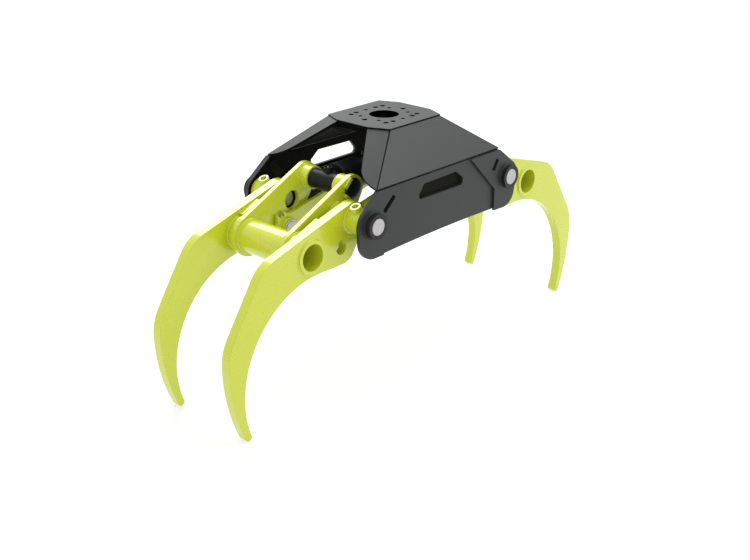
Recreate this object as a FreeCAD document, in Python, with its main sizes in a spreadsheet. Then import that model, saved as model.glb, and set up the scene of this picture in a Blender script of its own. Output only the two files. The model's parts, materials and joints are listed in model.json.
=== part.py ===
import FreeCAD, Part
import math
import os
import re
import Sketcher
from FreeCAD import Placement, Rotation, Vector

# Log grapple: two curved jaws swing on stub pins in a folded and welded head, one double-acting cylinder
# spreads their upper arms, and a pair of links ties the jaws so that they close evenly.
# The origin is the centre of the head's top face, +X runs along the head and +Z points up.

doc = FreeCAD.newDocument("LogGrapple")
sheet = doc.addObject("Spreadsheet::Sheet", "Sizes")

SIZES = [
    # head plate that bolts to the rotator
    ("plate_length", 282), ("plate_width", 250), ("plate_edge_long", 228), ("plate_edge_short", 123),
    ("plate_thick", 20), ("rotator_bore", 90), ("ring_one", 150), ("ring_one_hole", 13),
    ("ring_two", 173), ("ring_two_hole", 17), ("square_pitch", 140), ("square_hole", 17),
    # folded hoods, ribs and cheeks of the head
    ("hood_thick", 8), ("hood_top", 5), ("hood_foot", 115), ("knee_inset", 28), ("knee_depth", 85),
    ("rib_offset", 60), ("rib_thick", 10), ("rib_foot", 60), ("rib_arch", 18),
    ("cheek_face", 237), ("cheek_thick", 10), ("weld_gap", 0.3), ("long_corner", 292),
    ("short_corner", 265), ("long_eye", 58), ("long_toe", 63), ("long_toe_out", 301),
    ("long_toe_down", 253), ("short_eye", 49), ("short_toe", 48), ("short_toe_out", 295),
    ("short_toe_down", 263), ("arch_rise", 5), ("step_out", 262), ("step_height", 5),
    ("doubler_thick", 8), ("doubler_start", 121), ("doubler_knee_out", 243), ("doubler_knee_down", 242),
    ("doubler_end", 246), ("doubler_drop", 5), ("liner_rise", 0.074), ("liner_top", 148.7),
    ("liner_low_top", 200), ("liner_long_end", 262), ("liner_short_end", 255),
    ("liner_long_shoulder", 195), ("liner_short_shoulder", 205),
    ("slot_width", 16), ("slot_corner", 4), ("side_clearance", 0.5), ("running_clearance", 0.05),
    # stub pins on which the jaws swing
    ("pivot_offset", 308), ("pivot_drop", 215), ("pivot_radius", 25.7), ("pivot_inner", 108),
    ("boss_radius", 37), ("long_boss_stand", 21), ("short_boss_stand", 16), ("pin_chamfer", 2),
    # tines
    ("hub_radius", 51), ("crown_slope", 16), ("back_slope", 56.6), ("crown_radius", 120),
    ("belly_reach", 479), ("belly_corner", 255.6), ("belly_radius", 150), ("back_radius", 570),
    ("tip_drop", 526), ("throat_wall", 6.5), ("throat_radius", 297), ("tip_width", 20.3),
    ("tip_rise", 3.4), ("heel_out", 45), ("heel_radius", 54), ("tine_thick", 30),
    ("left_tine_inner", 131.5), ("right_tine_inner", 175), ("right_shortening", 30),
    ("access_out", 50), ("access_drop", 71), ("access_radius", 21),
    # cross tubes, arms, collars, gussets and sleeves of the jaws
    ("tube_out", 166.5), ("tube_drop", 66.5), ("tube_radius", 50), ("tube_bore", 39),
    ("tube_proud", 5), ("arm_inner", 88), ("arm_thick", 15), ("arm_tip_radius", 42),
    ("arm_foot_radius", 62), ("arm_hub_radius", 62), ("arm_lobe_radius", 40), ("arm_hole_radius", 28.5),
    ("collar_radius", 57), ("collar_thick", 12), ("gusset_length", 72), ("gusset_thick", 10),
    ("gusset_slope", 22), ("sleeve_radius", 38.5), ("bush_radius", 31), ("bush_inset", 2),
    ("cup_radius", 16), ("cup_reach", 54), ("cup_bore", 9.5), ("cup_depth", 10), ("cup_tilt", 22),
    ("left_cup_place", 188), ("right_cup_place", 150),
    # cylinder and the pins that hold it
    ("spread_in", 60), ("spread_up", 62), ("cylinder_pin", 22.5), ("pin_boss_radius", 35),
    ("pin_head_radius", 33.5), ("pin_head_thick", 10), ("pin_head_flat", 28), ("pin_head_width", 70),
    ("pin_tail", 4),
    ("keeper_length", 34), ("keeper_wide", 10), ("keeper_thick", 8),
    ("eye_radius", 30), ("eye_half", 51.5), ("neck_radius", 29), ("neck_end", 31),
    ("eye_cup_radius", 14.5), ("eye_cup_bore", 9), ("eye_cup_depth", 9.5), ("eye_cup_reach", 44),
    ("eye_cup_shift", 4),
    ("rod_radius", 25), ("end_gap", 6), ("spigot_radius", 15), ("piston_length", 25),
    ("nut_length", 12), ("nut_radius", 23), ("sliding_clearance", 0.04), ("bore_radius", 40),
    ("barrel_radius", 46), ("gland_start", 32.5), ("gland_length", 28.5), ("gland_radius", 47),
    ("gland_spigot", 32), ("cap_inset", 22), ("cap_length", 18), ("seal_width", 5),
    ("seal_depth", 4), ("port_radius", 14), ("port_stand", 10), ("port_bore", 7),
    ("port_inset", 23), ("front_port_inset", 107),
    # links that tie the two jaws
    ("link_pin_out", 34), ("link_pin_down", 71), ("link_pin", 20), ("link_inner", 60),
    ("link_plate", 12), ("link_eye_wide", 24), ("link_half", 29), ("link_neck_half", 35),
    ("link_near_radius", 46), ("link_eye_radius", 28.5),
    ("link_slot_wall", 10), ("link_slot_clearance", 1), ("closing_angle", 70),
    ("shoulder_radius", 26),
    ("clip_radius", 26), ("clip_thick", 2.5), ("pin_stub", 2), ("notch_lean", 29),
    ("notch_floor", 38), ("notch_half", 6.5), ("horn_reach", 62), ("horn_spread", 14),
    ("horn_root", 32), ("low_horn_reach", 55), ("low_horn_spread", 10), ("low_horn_fall", 13),
    # grease nipples
    ("nipple_radius", 5), ("nipple_height", 6), ("nipple_neck", 2.5), ("nipple_top", 10),
]
for row, (alias, number) in enumerate(SIZES, 1):
    sheet.set(f"A{row}", alias.replace("_", " "))
    sheet.set(f"B{row}", str(number))
    sheet.setAlias(f"B{row}", alias)
doc.recompute()


def size(alias):
    """The number that a cell of the sheet holds"""
    return float(getattr(sheet, alias))


def formula(text):
    """An expression on the sheet, written with bare aliases"""
    return re.sub(r"[a-z]\w*", lambda word: "Sizes." + word.group(), text)


def bind(thing, **formulas):
    """Tie properties of a document object to the sheet"""
    for name, text in formulas.items():
        thing.setExpression(name, formula(text))
    return thing


def place(thing, x="0", y="0", z="0", axis=(0, 0, 1), angle=0):
    """Turn a document object and tie its place to the sheet"""
    thing.Placement = Placement(Vector(), Rotation(Vector(*axis), angle))
    for name, text in (("x", x), ("y", y), ("z", z)):
        thing.setExpression("Placement.Base." + name, formula(text))
    return thing


FRONT = -1
REAR = 1
SIDES = {"front": FRONT, "rear": REAR}
LEFT = -1
RIGHT = 1


def signed(side, text):
    """The formula with the sign of one side of the grapple"""
    return f"-({text})" if side < 0 else f"({text})"


def from_centre(side, inner, thick):
    """Y of the face that a plate of this thickness is padded from, towards -Y"""
    return f"-({inner})" if side == FRONT else f"({inner}) + ({thick})"


# ---------------------------------------------------------------- outlines of straight edges and arcs

def tangent(first, second):
    """Ends of the straight edge between two discs (x, z, radius) of an outline that runs clockwise"""
    (x1, z1, r1), (x2, z2, r2) = first, second
    gap = math.hypot(x2 - x1, z2 - z1)
    along_x = (x2 - x1) / gap
    along_z = (z2 - z1) / gap
    lean = (r1 - r2) / gap
    rise = math.sqrt(1 - lean * lean)
    out_x = along_x * lean - along_z * rise
    out_z = along_z * lean + along_x * rise
    return (x1 + out_x * r1, z1 + out_z * r1), (x2 + out_x * r2, z2 + out_z * r2)


# two points nearer than this, in mm, are the same point
same_point = 1e-6


class Outline:
    """A closed outline in a plate's own plane, mirrored in X where side is -1"""

    def __init__(self, side, start):
        self.side = side
        self.point = start
        self.edges = []

    def spot(self, x, z):
        return Vector(self.side * x, z, 0)

    def line(self, *points):
        for point in points:
            if math.dist(self.point, point) > same_point:
                self.edges.append(Part.LineSegment(self.spot(*self.point), self.spot(*point)))
            self.point = point
        return self

    def round(self, centre, end, clockwise=True):
        """Arc about a centre to an end point that is as far from it"""
        first = math.atan2(self.point[1] - centre[1], self.point[0] - centre[0])
        last = math.atan2(end[1] - centre[1], end[0] - centre[0])
        sweep = (first - last) % math.tau if clockwise else -((last - first) % math.tau)
        radius = math.dist(self.point, centre)
        middle = first - sweep / 2
        via = (centre[0] + radius * math.cos(middle), centre[1] + radius * math.sin(middle))
        self.edges.append(Part.Arc(self.spot(*self.point), self.spot(*via), self.spot(*end)))
        self.point = end
        return self


def hull(side, *discs):
    """Outline stretched round discs (x, z, radius) that are listed clockwise"""
    spans = [tangent(disc, discs[(i + 1) % len(discs)]) for i, disc in enumerate(discs)]
    outline = Outline(side, spans[-1][1])
    for disc, (leave, reach) in zip(discs, spans):
        if disc[2] > 0:
            outline.round(disc[:2], leave)
        outline.line(reach)
    return outline.edges


# ---------------------------------------------------------------- pieces of plate, bar and tube

def sketched(label, edges, holes):
    """A body with a sketch in its XZ plane; holes are (x, z, formula of the radius)"""
    body = doc.addObject("PartDesign::Body", label)
    sketch = body.newObject("Sketcher::SketchObject", label + "_sketch")
    plane = next(item for item in body.Origin.OriginFeatures if item.Role == "XZ_Plane")
    sketch.AttachmentSupport = [(plane, "")]
    sketch.MapMode = "FlatFace"
    sketch.addGeometry(edges, False)
    for x, z, radius in holes:
        index = sketch.addGeometry(Part.Circle(Vector(x, z, 0), Vector(0, 0, 1), 1), False)
        tie = sketch.addConstraint(Sketcher.Constraint("Radius", index, 1))
        sketch.setExpression(f"Constraints[{tie}]", formula(radius))
    return body, sketch


def plate(label, edges, thick, x="0", y="0", z="0", axis=(0, 0, 1), angle=0, holes=()):
    """A flat plate cut to an outline, padded towards -Y"""
    body, sketch = sketched(label, edges, holes)
    pad = body.newObject("PartDesign::Pad", label + "_pad")
    pad.Profile = sketch
    bind(pad, Length=thick)
    body.Tip = pad
    return place(body, x, y, z, axis, angle)


def turned(label, points, x="0", y="0", z="0", axis=(0, 0, 1), angle=0):
    """A piece turned about its own X axis from a profile of (distance, radius) points"""
    edges = Outline(1, points[-1]).line(*points).edges
    body, sketch = sketched(label, edges, ())
    spin = body.newObject("PartDesign::Revolution", label + "_spin")
    spin.Profile = sketch
    spin.ReferenceAxis = (sketch, ["H_Axis"])
    spin.Angle = 360
    body.Tip = spin
    return place(body, x, y, z, axis, angle)


def bar(label, radius, length, x="0", y="0", z="0", axis=(1, 0, 0), angle=90):
    """A round bar that runs towards -Y unless it is turned another way"""
    solid = bind(doc.addObject("Part::Cylinder", label), Radius=radius, Height=length)
    return place(solid, x, y, z, axis, angle)


def cut(label, base, *tools):
    """Base less every tool"""
    for count, tool in enumerate(tools, 1):
        last = count == len(tools)
        piece = doc.addObject("Part::Cut", label if last else f"{label}_cut{count}")
        piece.Base = base
        piece.Tool = tool
        base = piece
    return base


def fuse(label, *pieces):
    piece = doc.addObject("Part::MultiFuse", label)
    piece.Shapes = list(pieces)
    return piece


def group(label, *pieces):
    """Separate solids that share one node"""
    piece = doc.addObject("Part::Compound", label)
    piece.Links = list(pieces)
    return piece


def ring(label, outer, inner, length, x="0", y="0", z="0", axis=(1, 0, 0), angle=90):
    """A ring or tube with its axis as a bar's"""
    solid = bar(label + "_outside", outer, length, x, y, z, axis, angle)
    hole = bar(label + "_inside", inner, length, x, y, z, axis, angle)
    return cut(label, solid, hole)


parts = []


def keep(piece, label=None):
    """Name a finished sub-part, so that it is checked and written"""
    piece.Label = label or piece.Name
    parts.append(piece)
    return piece


# ---------------------------------------------------------------- head plate with its bolt patterns

half_length = size("plate_length") / 2
half_width = size("plate_width") / 2
half_edge_long = size("plate_edge_long") / 2
half_edge_short = size("plate_edge_short") / 2

octagon = []
for sign_x, sign_y in ((-1, 1), (1, 1), (1, -1), (-1, -1)):
    corner = [(sign_x * half_length, sign_y * half_edge_short)]
    corner.append((sign_x * half_edge_long, sign_y * half_width))
    octagon += corner if sign_x * sign_y < 0 else corner[::-1]
blank_edges = Outline(1, octagon[-1]).line(*octagon).edges

bolt_holes = [(0, 0, "rotator_bore / 2")]
for turn in range(6):
    for ring_name, start in (("ring_one", 30), ("ring_two", 0)):
        angle = math.radians(start + 60 * turn)
        reach = size(ring_name) / 2
        bolt_holes.append((reach * math.cos(angle), reach * math.sin(angle), ring_name + "_hole / 2"))
half_pitch = size("square_pitch") / 2
bolt_holes += [(sx * half_pitch, sy * half_pitch, "square_hole / 2") for sx in (-1, 1) for sy in (-1, 1)]

# the outline is turned down flat, so that its pad runs down from the top face
keep(plate("top_plate", blank_edges, "plate_thick", axis=(1, 0, 0), angle=90, holes=bolt_holes))


# ---------------------------------------------------------------- folded hoods and the ribs below them

hood_thick = size("hood_thick")
hood_top = size("hood_top")
hood_foot = size("hood_foot")
cheek_face = size("cheek_face")
hood_slope = math.atan2(hood_foot - hood_top, cheek_face - half_width)

# the cheek's top edge lies just under the inner corner of the hood's foot
cheek_top = hood_foot + hood_thick * math.cos(hood_slope) + size("weld_gap")


def panel(edges, corners):
    """A flat sheet panel whose outside is the face and whose thickness goes down and inwards"""
    normal = (corners[1] - corners[0]).cross(corners[2] - corners[0])
    normal.normalize()
    if normal.z > 0:
        normal = -normal
    return Part.Face(Part.Wire(edges)).extrude(normal * hood_thick)


def wing(side, corner_out):
    """The triangular wing folded round one end of a hood, with a hollowed free edge"""
    fold_top = Vector(side * half_edge_long, -half_width, -hood_top)
    tip_top = Vector(side * half_length, -half_edge_short, -hood_top)
    foot = Vector(side * corner_out, -cheek_face, -hood_foot)
    normal = (tip_top - fold_top).cross(foot - fold_top)

    def on_wing(x, y):
        fall = (normal.x * (x - fold_top.x) + normal.y * (y - fold_top.y)) / normal.z
        return Vector(x, y, fold_top.z - fall)

    knee = on_wing(side * (corner_out - size("knee_inset")), size("knee_depth") - cheek_face)
    swell = on_wing(side * (corner_out - size("knee_inset") / 5), 0.55 * size("knee_depth") - cheek_face)
    edges = [Part.makeLine(fold_top, tip_top), Part.makeLine(tip_top, knee)]
    edges += [Part.Arc(knee, swell, foot).toShape(), Part.makeLine(foot, fold_top)]
    return panel(edges, (fold_top, tip_top, foot))


def hood_shape():
    """Front hood: a sloping panel from the head plate down to the cheek, and a wing at each end"""
    corners = [
        Vector(-half_edge_long, -half_width, -hood_top),
        Vector(half_edge_long, -half_width, -hood_top),
        Vector(size("short_corner"), -cheek_face, -hood_foot),
        Vector(-size("long_corner"), -cheek_face, -hood_foot),
    ]
    edges = [Part.makeLine(corner, corners[(i + 1) % 4]) for i, corner in enumerate(corners)]
    wings = [wing(LEFT, size("long_corner")), wing(RIGHT, size("short_corner"))]
    sheets = panel(edges, corners).fuse(wings)
    blank = Part.Face(Part.makePolygon([Vector(x, y, hood_thick) for x, y in octagon + octagon[:1]]))
    outside = Part.makeBox(2 * size("long_corner"), hood_thick, 2 * hood_foot)
    outside.translate(Vector(-size("long_corner"), -cheek_face - hood_thick, -2 * hood_foot))
    below = Part.makeBox(4 * size("long_corner"), cheek_face, hood_thick)
    below_top = size("weld_gap") - cheek_top
    below.translate(Vector(-2 * size("long_corner"), -cheek_face, below_top - hood_thick))
    waste = [blank.extrude(Vector(0, 0, -size("plate_thick") - hood_thick)), outside, below]
    return sheets.cut(waste).removeSplitter()


for name, angle in (("hood_front", 0), ("hood_rear", 180)):
    hood = doc.addObject("Part::Feature", name)
    hood.Shape = hood_shape()
    hood.Placement = Placement(Vector(), Rotation(Vector(0, 0, 1), angle))
    keep(hood)

# the sloping ends of each rib lie against the inside of the hoods
inside_shift = half_width - hood_thick / math.sin(hood_slope)
rib_ends = [inside_shift + (depth - hood_top) / math.tan(hood_slope)
            for depth in (size("plate_thick"), size("rib_foot"))]
rib_top, rib_foot = -size("plate_thick"), -size("rib_foot")
rib_crest = rib_foot + size("rib_arch")
arch_half = rib_ends[0] * 0.8
arch_radius = (arch_half ** 2 + size("rib_arch") ** 2) / (2 * size("rib_arch"))
rib = Outline(1, (-rib_ends[0], rib_top)).line((rib_ends[0], rib_top), (rib_ends[1], rib_foot))
rib.line((arch_half, rib_foot))
rib.round((0, rib_crest - arch_radius), (-arch_half, rib_foot), clockwise=False)
rib.line((-rib_ends[1], rib_foot), (-rib_ends[0], rib_top))
for name, side in (("rib_left", LEFT), ("rib_right", RIGHT)):
    keep(plate(name, rib.edges, "rib_thick", x=signed(side, "rib_offset") + " - rib_thick / 2", angle=90))


# ---------------------------------------------------------------- cheeks, doublers, bosses and stub pins

pivot_offset = size("pivot_offset")
pivot_drop = size("pivot_drop")

# where the arch begins at the step in the long end's foot
step_foot = (-size("step_out"), size("step_height") - size("long_toe_down") - size("long_toe"))


def cheek_end(kind, side):
    """Discs (x, z, radius) that round one end of a cheek: its eye at the pivot and its toe below"""
    eye = (side * pivot_offset, -pivot_drop, size(kind + "_eye"))
    toe = (side * size(kind + "_toe_out"), -size(kind + "_toe_down"), size(kind + "_toe"))
    return eye, toe


def arch(x):
    """Height of the cheek's hollowed bottom edge"""
    right = (size("short_toe_out"), -size("short_toe_down") - size("short_toe"))
    crest = (step_foot[1] + right[1]) / 2 + size("arch_rise")
    bottom = Part.Arc(Vector(*step_foot, 0), Vector(0, crest, 0), Vector(*right, 0)).toShape().Curve
    return bottom.Center.y + math.sqrt(bottom.Radius ** 2 - (x - bottom.Center.x) ** 2), bottom.Center


def cheek_edges(side):
    """Cheek with its long end to the left; side -1 mirrors it for the rear"""
    long_eye, long_toe = cheek_end("long", LEFT)
    short_eye, short_toe = cheek_end("short", RIGHT)
    long_top = (-size("long_corner"), -cheek_top, 0)
    short_top = (size("short_corner"), -cheek_top, 0)
    spans = [tangent(short_top, short_eye), tangent(short_eye, short_toe)]
    spans += [tangent(long_toe, long_eye), tangent(long_eye, long_top)]
    centre = arch(0)[1]
    short_foot = (short_toe[0], short_toe[1] - short_toe[2])
    long_foot = (long_toe[0], long_toe[1] - long_toe[2])
    outline = Outline(side, long_top[:2]).line(short_top[:2], spans[0][1])
    outline.round(short_eye[:2], spans[1][0]).line(spans[1][1]).round(short_toe[:2], short_foot)
    outline.round((centre.x, centre.y), step_foot, clockwise=False)
    outline.line((step_foot[0], long_foot[1]), long_foot)
    outline.round(long_toe[:2], spans[2][0]).line(spans[2][1])
    outline.round(long_eye[:2], spans[3][0]).line(long_top[:2])
    return outline.edges


def doubler_edges(side):
    """Doubler on the short end of a cheek, inwards to a cranked edge; it hangs a little below the cheek"""
    eye, toe = cheek_end("short", RIGHT)
    drop = size("doubler_drop")
    toe = (toe[0], toe[1], toe[2] + drop)
    top = (size("short_corner"), -cheek_top, 0)
    spans = [tangent(top, eye), tangent(eye, toe)]
    start = (size("doubler_start"), -cheek_top)
    crank = (size("doubler_knee_out"), -size("doubler_knee_down"))
    height, centre = arch(size("doubler_end"))
    outline = Outline(side, start).line(top[:2], spans[0][1])
    outline.round(eye[:2], spans[1][0]).line(spans[1][1]).round(toe[:2], (toe[0], toe[1] - toe[2]))
    outline.round((centre.x, centre.y - drop), (size("doubler_end"), height - drop), clockwise=False)
    outline.line(crank, start)
    return outline.edges


def liner_edges(side, low):
    """Liner inside a cheek between its pivots; the low one ends below the window"""
    ends = []
    long_end, short_end = -size("liner_long_end"), size("liner_short_end")
    for end, shoulder, waist in ((long_end, *LINER_LONG), (short_end, *LINER_SHORT)):
        top = (shoulder, size("liner_rise") * shoulder - size("liner_top"))
        if low:
            share = (size("liner_low_top") + top[1]) / (top[1] - waist[1])
            top = (top[0] + share * (waist[0] - top[0]), -size("liner_low_top"))
        ends.append((top, waist, (end, waist[1] - abs(end - waist[0])), (end, arch(end)[0])))
    long_end_points, short_end_points = ends
    centre = arch(0)[1]
    outline = Outline(side, long_end_points[0]).line(*short_end_points)
    outline.round((centre.x, centre.y), long_end_points[-1], clockwise=False)
    outline.line(*long_end_points[-2::-1])
    return outline.edges


def slot_edges(side, upper, lower):
    """A slanted slot with rounded corners; upper and lower are the middles of its ends"""
    length = math.dist(upper, lower)
    along = ((lower[0] - upper[0]) / length, (lower[1] - upper[1]) / length)
    corner = size("slot_corner")
    half = size("slot_width") / 2 - corner
    corners = []
    for end, inward, across in ((upper, 1, -1), (upper, 1, 1), (lower, -1, 1), (lower, -1, -1)):
        x = end[0] + inward * corner * along[0] - across * half * along[1]
        z = end[1] + inward * corner * along[1] + across * half * along[0]
        corners.append((x, z, corner))
    return hull(side, *corners)


WINDOW = ((-90, -146), (58, -144), (91, -170), (90, -186),
          (83, -192), (-106, -190), (-113, -181), (-110, -171))
LONG_SLOT = ((-219, -150), (-262, -188))
SHORT_SLOT = ((254, -148), (232, -181))

# where each end of a liner starts to slant, and the waist point that it slants to
LINER_LONG = (-size("liner_long_shoulder"), (-250, -215))
LINER_SHORT = (size("liner_short_shoulder"), (228, -213))

for name, face in SIDES.items():
    # the rear cheek is the front one turned half round, so its outline is mirrored
    hand = 1 if face == FRONT else -1
    edges = cheek_edges(hand) + Outline(hand, WINDOW[-1]).line(*WINDOW).edges
    edges += slot_edges(hand, *LONG_SLOT) + slot_edges(hand, *SHORT_SLOT)
    eyes = [(side * pivot_offset, -pivot_drop, "pivot_radius") for side in (LEFT, RIGHT)]
    cheek_inner = from_centre(face, "cheek_face - cheek_thick", "cheek_thick")
    keep(plate("cheek_" + name, edges, "cheek_thick", y=cheek_inner, holes=eyes))

    outer = doubler_edges(hand) + slot_edges(hand, *SHORT_SLOT)
    outer_eye = [(hand * pivot_offset, -pivot_drop, "pivot_radius")]
    outer_inner = from_centre(face, "cheek_face", "doubler_thick")
    keep(plate("outer_doubler_" + name, outer, "doubler_thick", y=outer_inner, holes=outer_eye))

    liner_inner = from_centre(face, "cheek_face - cheek_thick - doubler_thick", "doubler_thick")
    liner = liner_edges(hand, low=face == REAR)
    keep(plate("inner_doubler_" + name, liner, "doubler_thick", y=liner_inner))


def long_end(face, side):
    """Whether this end of this cheek is the long one, which has no doubler outside"""
    return face == side


bosses = []
for name, face in SIDES.items():
    for end, side in (("left", LEFT), ("right", RIGHT)):
        seat, length = "cheek_face", "long_boss_stand"
        boss_end = size("cheek_face") + size("long_boss_stand")
        if not long_end(face, side):
            seat, length = "cheek_face + doubler_thick", "short_boss_stand"
            boss_end = size("cheek_face") + size("doubler_thick") + size("short_boss_stand")
        where = {"x": signed(side, "pivot_offset"), "z": "-pivot_drop"}
        bosses.append(ring(f"boss_{name}_{end}", "boss_radius", "pivot_radius", length,
                           y=from_centre(face, seat, length), **where))
        span = boss_end - size("pivot_inner")
        radius = size("pivot_radius")
        bevel = size("pin_chamfer")
        profile = [(0, 0), (0, radius - bevel), (bevel, radius), (span - bevel, radius)]
        profile += [(span, radius - bevel), (span, 0)]
        pin_start = f"-({seat} + {length})" if face == FRONT else "pivot_inner"
        keep(turned(f"pivot_pin_{name}_{end}", profile, y=pin_start, angle=90, **where))
keep(group("pivot_bosses", *bosses))


# ---------------------------------------------------------------- jaws

def tine_edges(side, shortening):
    """One tine, drawn from its pivot with X pointing outwards"""
    hub = (0, 0, size("hub_radius"))
    throat_top = -size("tube_drop") - size("tube_radius") - size("throat_wall")
    heel = (size("heel_out"), throat_top + size("heel_radius"), size("heel_radius"))
    top_angle = math.radians(size("crown_slope"))
    back_angle = math.radians(size("back_slope"))
    reach = size("belly_reach") - shortening
    shoulder = (hub[2] * math.sin(top_angle), hub[2] * math.cos(top_angle))

    # the top line and the steep back line meet at the crown
    run = (reach - shoulder[0]) * math.sin(back_angle)
    run -= (shoulder[1] + size("belly_corner")) * math.cos(back_angle)
    run /= math.sin(back_angle - top_angle)
    crown = (shoulder[0] + run * math.cos(top_angle), shoulder[1] - run * math.sin(top_angle))
    trim = size("crown_radius") * math.tan((back_angle - top_angle) / 2)
    crown_in = (crown[0] - trim * math.cos(top_angle), crown[1] + trim * math.sin(top_angle))
    crown_out = (crown[0] + trim * math.cos(back_angle), crown[1] - trim * math.sin(back_angle))
    crown_radius = size("crown_radius")
    crown_centre = (crown_in[0] - crown_radius * math.sin(top_angle),
                    crown_in[1] - crown_radius * math.cos(top_angle))

    # belly, back and point
    belly_radius = size("belly_radius")
    trim = belly_radius * math.tan((math.pi / 2 - back_angle) / 2)
    corner = (reach, -size("belly_corner"))
    belly_in = (corner[0] - trim * math.cos(back_angle), corner[1] + trim * math.sin(back_angle))
    belly_out = (corner[0], corner[1] - trim)
    belly_centre = (reach - belly_radius, belly_out[1])
    back_radius = size("back_radius")
    back_centre = (reach - back_radius, belly_out[1])
    fall = math.asin((size("tip_drop") + belly_out[1]) / back_radius)
    tip_out = (back_centre[0] + back_radius * math.cos(fall), -size("tip_drop"))

    # the throat passes just under the cross tube and ends at the inside of the point
    throat_radius = size("throat_radius")
    tip_in = (tip_out[0] - size("tip_width"), tip_out[1] + size("tip_rise"))
    tip_centre = ((tip_out[0] + tip_in[0]) / 2, (tip_out[1] + tip_in[1]) / 2)
    throat_down = throat_top - throat_radius
    throat = (tip_in[0] - math.sqrt(throat_radius ** 2 - (throat_down - tip_in[1]) ** 2), throat_down)

    heel_leave, hub_reach = tangent(heel, hub)
    outline = Outline(side, shoulder).line(crown_in).round(crown_centre, crown_out)
    outline.line(belly_in).round(belly_centre, belly_out).round(back_centre, tip_out)
    outline.round(tip_centre, tip_in).round(throat, (throat[0], throat_top), clockwise=False)
    outline.line((heel[0], heel[1] - heel[2])).round(heel[:2], heel_leave)
    outline.line(hub_reach).round(hub[:2], shoulder)
    return outline.edges


def arm_edges(side, lobe):
    """Upper arm: a rounded triangle round the cross tube, the pivot and the cylinder's pin"""
    foot = (size("tube_out"), -size("tube_drop"), size("arm_foot_radius"))
    tip = (-size("spread_in"), size("spread_up"), size("arm_tip_radius"))
    hub = (0, 0, size("arm_hub_radius"))
    link_lobe = (size("link_pin_out"), -size("link_pin_down"), size("arm_lobe_radius"))
    return hull(side, tip, foot, *([link_lobe] if lobe else []), hub)


def gusset_edges(side):
    """Strip that leans from the crest of the cross tube up towards the pivot"""
    slope = math.radians(size("gusset_slope"))
    along = (-math.cos(slope) * size("gusset_length"), math.sin(slope) * size("gusset_length"))
    up = (math.sin(slope) * size("gusset_thick"), math.cos(slope) * size("gusset_thick"))
    foot = (size("tube_out"), size("tube_radius") - size("tube_drop"))
    head = (foot[0] + along[0], foot[1] + along[1])
    outline = Outline(side, foot).line(head, (head[0] + up[0], head[1] + up[1]))
    return outline.line((foot[0] + up[0], foot[1] + up[1]), foot).edges


def nipple(label, **where):
    """Grease nipple: a hexagon with a smaller round head"""
    hexagon = bind(doc.addObject("Part::Prism", label + "_hexagon"), Circumradius="nipple_radius",
                   Height="nipple_height")
    return fuse(label, place(hexagon, **where), bar(label + "_head", "nipple_neck", "nipple_top", **where))


def beside_head(label, wide, thick, long, angle, spread):
    """Block that lies against a flat of the pin's head, turned about the pin by an angle"""
    turn = math.radians(angle)
    reach = size("pin_head_flat")
    half = size(long) / 2
    block = bind(doc.addObject("Part::Box", label), Length=wide, Width=thick, Height=long)
    shift_x = math.cos(turn) * reach - math.sin(turn) * half
    shift_z = -math.sin(turn) * reach - math.cos(turn) * half
    return place(block, f"{spread['x']} + {shift_x:.6f}", f"-(arm_inner + arm_thick + ({thick}))",
                 f"{spread['z']} + {shift_z:.6f}", (0, 1, 0), angle)


eye_gap = "eye_half + side_clearance"
link_near = "link_inner - side_clearance"
link_far = "link_inner + link_eye_wide + side_clearance"

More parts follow.
